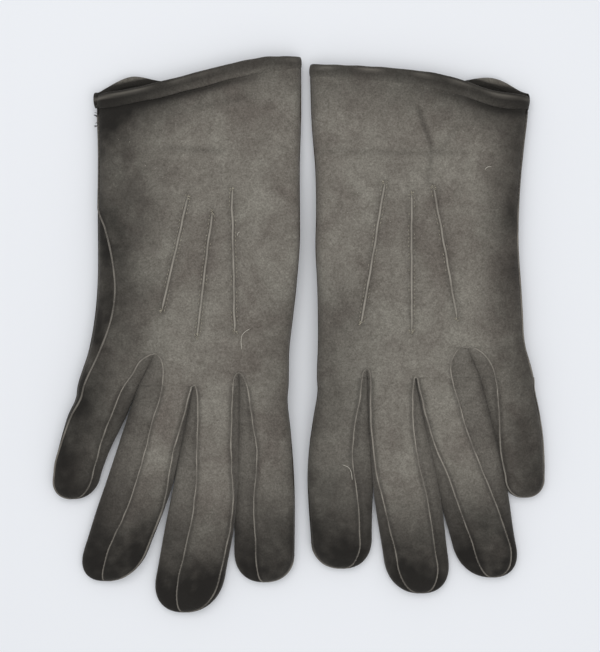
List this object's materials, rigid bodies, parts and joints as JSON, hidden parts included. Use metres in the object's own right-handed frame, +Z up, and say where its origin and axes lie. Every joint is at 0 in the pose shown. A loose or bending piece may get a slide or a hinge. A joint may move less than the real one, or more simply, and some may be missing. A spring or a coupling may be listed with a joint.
{
  "type": "pair of leather gloves",
  "caption": "Pair of unlined suede dress gloves lying palm down: folded trank, fourchettes, raised points on the back, turned cuff hems, thumbs tucked under the palms.",
  "frame": {"origin": "middle of the pair's bounding box, on the surface it lies on", "axes": "+Z up, away from the palms; +Y towards the cuffs, so the fingers point along -Y; +X towards the left-hand glove"},
  "size_m": [0.2362, 0.267, 0.0159],
  "materials": {
    "suede_back": "matt napped suede, warm grey",
    "suede_palm": "matt napped suede, warm grey, a little darker",
    "suede_side": "matt napped suede, darker grey",
    "hem": "matt suede turned over and stitched, dark with handling",
    "seam_edge": "raised stitched edge, worn pale"
  },
  "bodies": {
    "right_glove": {"right_back_panel": "suede_back", "right_palm_panel": "suede_palm", "right_trank_fold": "suede_back", "right_side_seam": "suede_side", "right_cuff_hem_back": "hem", "right_cuff_hem_palm": "hem", "right_index_point": "seam_edge", "right_middle_point": "seam_edge", "right_ring_point": "seam_edge", "right_fork_index_middle": "suede_side", "right_fork_ring_little": "suede_side", "right_thumb_base": "suede_palm"},
    "right_index_finger": {"right_index_back_panel": "suede_back", "right_index_palm_panel": "suede_palm", "right_index_fold": "suede_back", "right_index_fourchette": "suede_side"},
    "right_middle_finger": {"right_middle_back_panel": "suede_back", "right_middle_palm_panel": "suede_palm", "right_middle_fourchette_near": "suede_side", "right_middle_fourchette_far": "suede_side"},
    "right_ring_finger": {"right_ring_back_panel": "suede_back", "right_ring_palm_panel": "suede_palm", "right_ring_fourchette_near": "suede_side", "right_ring_fourchette_far": "suede_side"},
    "right_little_finger": {"right_little_back_panel": "suede_back", "right_little_palm_panel": "suede_palm", "right_little_fourchette": "suede_side", "right_little_side_seam": "suede_side"},
    "right_thumb": {"right_thumb_upper_panel": "suede_palm", "right_thumb_lower_panel": "suede_palm"},
    "left_glove": {"left_back_panel": "suede_back", "left_palm_panel": "suede_palm", "left_trank_fold": "suede_back", "left_side_seam": "suede_side", "left_cuff_hem_back": "hem", "left_cuff_hem_palm": "hem", "left_index_point": "seam_edge", "left_middle_point": "seam_edge", "left_ring_point": "seam_edge", "left_fork_index_middle": "suede_side", "left_fork_ring_little": "suede_side", "left_thumb_base": "suede_palm"},
    "left_index_finger": {"left_index_back_panel": "suede_back", "left_index_palm_panel": "suede_palm", "left_index_fold": "suede_back", "left_index_fourchette": "suede_side"},
    "left_middle_finger": {"left_middle_back_panel": "suede_back", "left_middle_palm_panel": "suede_palm", "left_middle_fourchette_near": "suede_side", "left_middle_fourchette_far": "suede_side"},
    "left_ring_finger": {"left_ring_back_panel": "suede_back", "left_ring_palm_panel": "suede_palm", "left_ring_fourchette_near": "suede_side", "left_ring_fourchette_far": "suede_side"},
    "left_little_finger": {"left_little_back_panel": "suede_back", "left_little_palm_panel": "suede_palm", "left_little_fourchette": "suede_side", "left_little_side_seam": "suede_side"},
    "left_thumb": {"left_thumb_upper_panel": "suede_palm", "left_thumb_lower_panel": "suede_palm"}
  },
  "joints": [
    {"name": "right_index_knuckle", "type": "hinge", "parent": "right_glove", "child": "right_index_finger", "pos_m": [-0.01684, -0.0281, 0.00294], "axis": [1, 0, 0], "range_deg": [-12, 80]},
    {"name": "right_middle_knuckle", "type": "hinge", "parent": "right_glove", "child": "right_middle_finger", "pos_m": [-0.04004, -0.0281, 0.00294], "axis": [1, 0, 0], "range_deg": [-12, 80]},
    {"name": "right_ring_knuckle", "type": "hinge", "parent": "right_glove", "child": "right_ring_finger", "pos_m": [-0.06504, -0.0281, 0.00294], "axis": [1, 0, 0], "range_deg": [-12, 80]},
    {"name": "right_little_knuckle", "type": "hinge", "parent": "right_glove", "child": "right_little_finger", "pos_m": [-0.09304, -0.0281, 0.00294], "axis": [1, 0, 0], "range_deg": [-12, 80]},
    {"name": "right_thumb_root", "type": "hinge", "parent": "right_glove", "child": "right_thumb", "pos_m": [-0.02124, 0.0479, 0.0011], "axis": [1, 0, 0], "range_deg": [0, 60]},
    {"name": "left_index_knuckle", "type": "hinge", "parent": "left_glove", "child": "left_index_finger", "pos_m": [0.02096, -0.0241, 0.00294], "axis": [1, 0, 0], "range_deg": [-12, 80]},
    {"name": "left_middle_knuckle", "type": "hinge", "parent": "left_glove", "child": "left_middle_finger", "pos_m": [0.04496, -0.0241, 0.00294], "axis": [1, 0, 0], "range_deg": [-12, 80]},
    {"name": "left_ring_knuckle", "type": "hinge", "parent": "left_glove", "child": "left_ring_finger", "pos_m": [0.07256, -0.0241, 0.00294], "axis": [1, 0, 0], "range_deg": [-12, 80]},
    {"name": "left_little_knuckle", "type": "hinge", "parent": "left_glove", "child": "left_little_finger", "pos_m": [0.10136, -0.0241, 0.00294], "axis": [1, 0, 0], "range_deg": [-12, 80]},
    {"name": "left_thumb_root", "type": "hinge", "parent": "left_glove", "child": "left_thumb", "pos_m": [0.02576, 0.0519, 0.0011], "axis": [1, 0, 0], "range_deg": [0, 60]},
    {"name": "left_glove_lift", "type": "slide", "parent": "right_glove", "child": "left_glove", "axis": [0, 0, 1], "range_m": [0, 0.08]}
  ]
}
